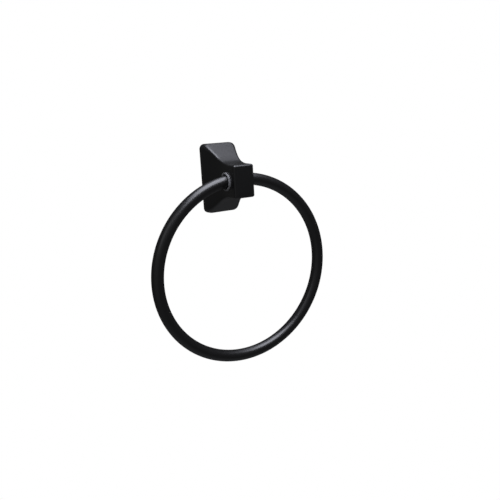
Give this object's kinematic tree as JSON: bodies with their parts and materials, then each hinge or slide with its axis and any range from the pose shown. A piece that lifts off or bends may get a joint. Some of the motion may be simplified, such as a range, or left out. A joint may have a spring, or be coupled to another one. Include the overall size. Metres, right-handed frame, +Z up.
{
  "type": "towel ring",
  "caption": "Wall post with a flared rectangular base and square nose, carrying a round tube hoop that swings in two eyelets.",
  "frame": {"origin": "middle of the base's back face, where the bracket lies on the wall", "axes": "+Z up, +Y into the wall, +X to the right for someone facing the wall"},
  "size_m": [0.163, 0.048, 0.1872],
  "materials": {
    "black_coat": "satin",
    "hoop_coat": "satin",
    "eyelet_plastic": "matte",
    "bracket_steel": "satin",
    "screw_steel": "satin"
  },
  "bodies": {
    "fixture": {"post": "black_coat", "left_eyelet": "eyelet_plastic", "right_eyelet": "eyelet_plastic", "wall_bracket": "bracket_steel", "set_screw": "screw_steel"},
    "hoop": {"ring": "hoop_coat"}
  },
  "joints": [
    {"name": "ring_swing", "type": "hinge", "parent": "fixture", "child": "hoop", "pos_m": [0, -0.0344, -0.0001], "axis": [-1, 0, 0], "range_deg": [-11, 191]}
  ]
}
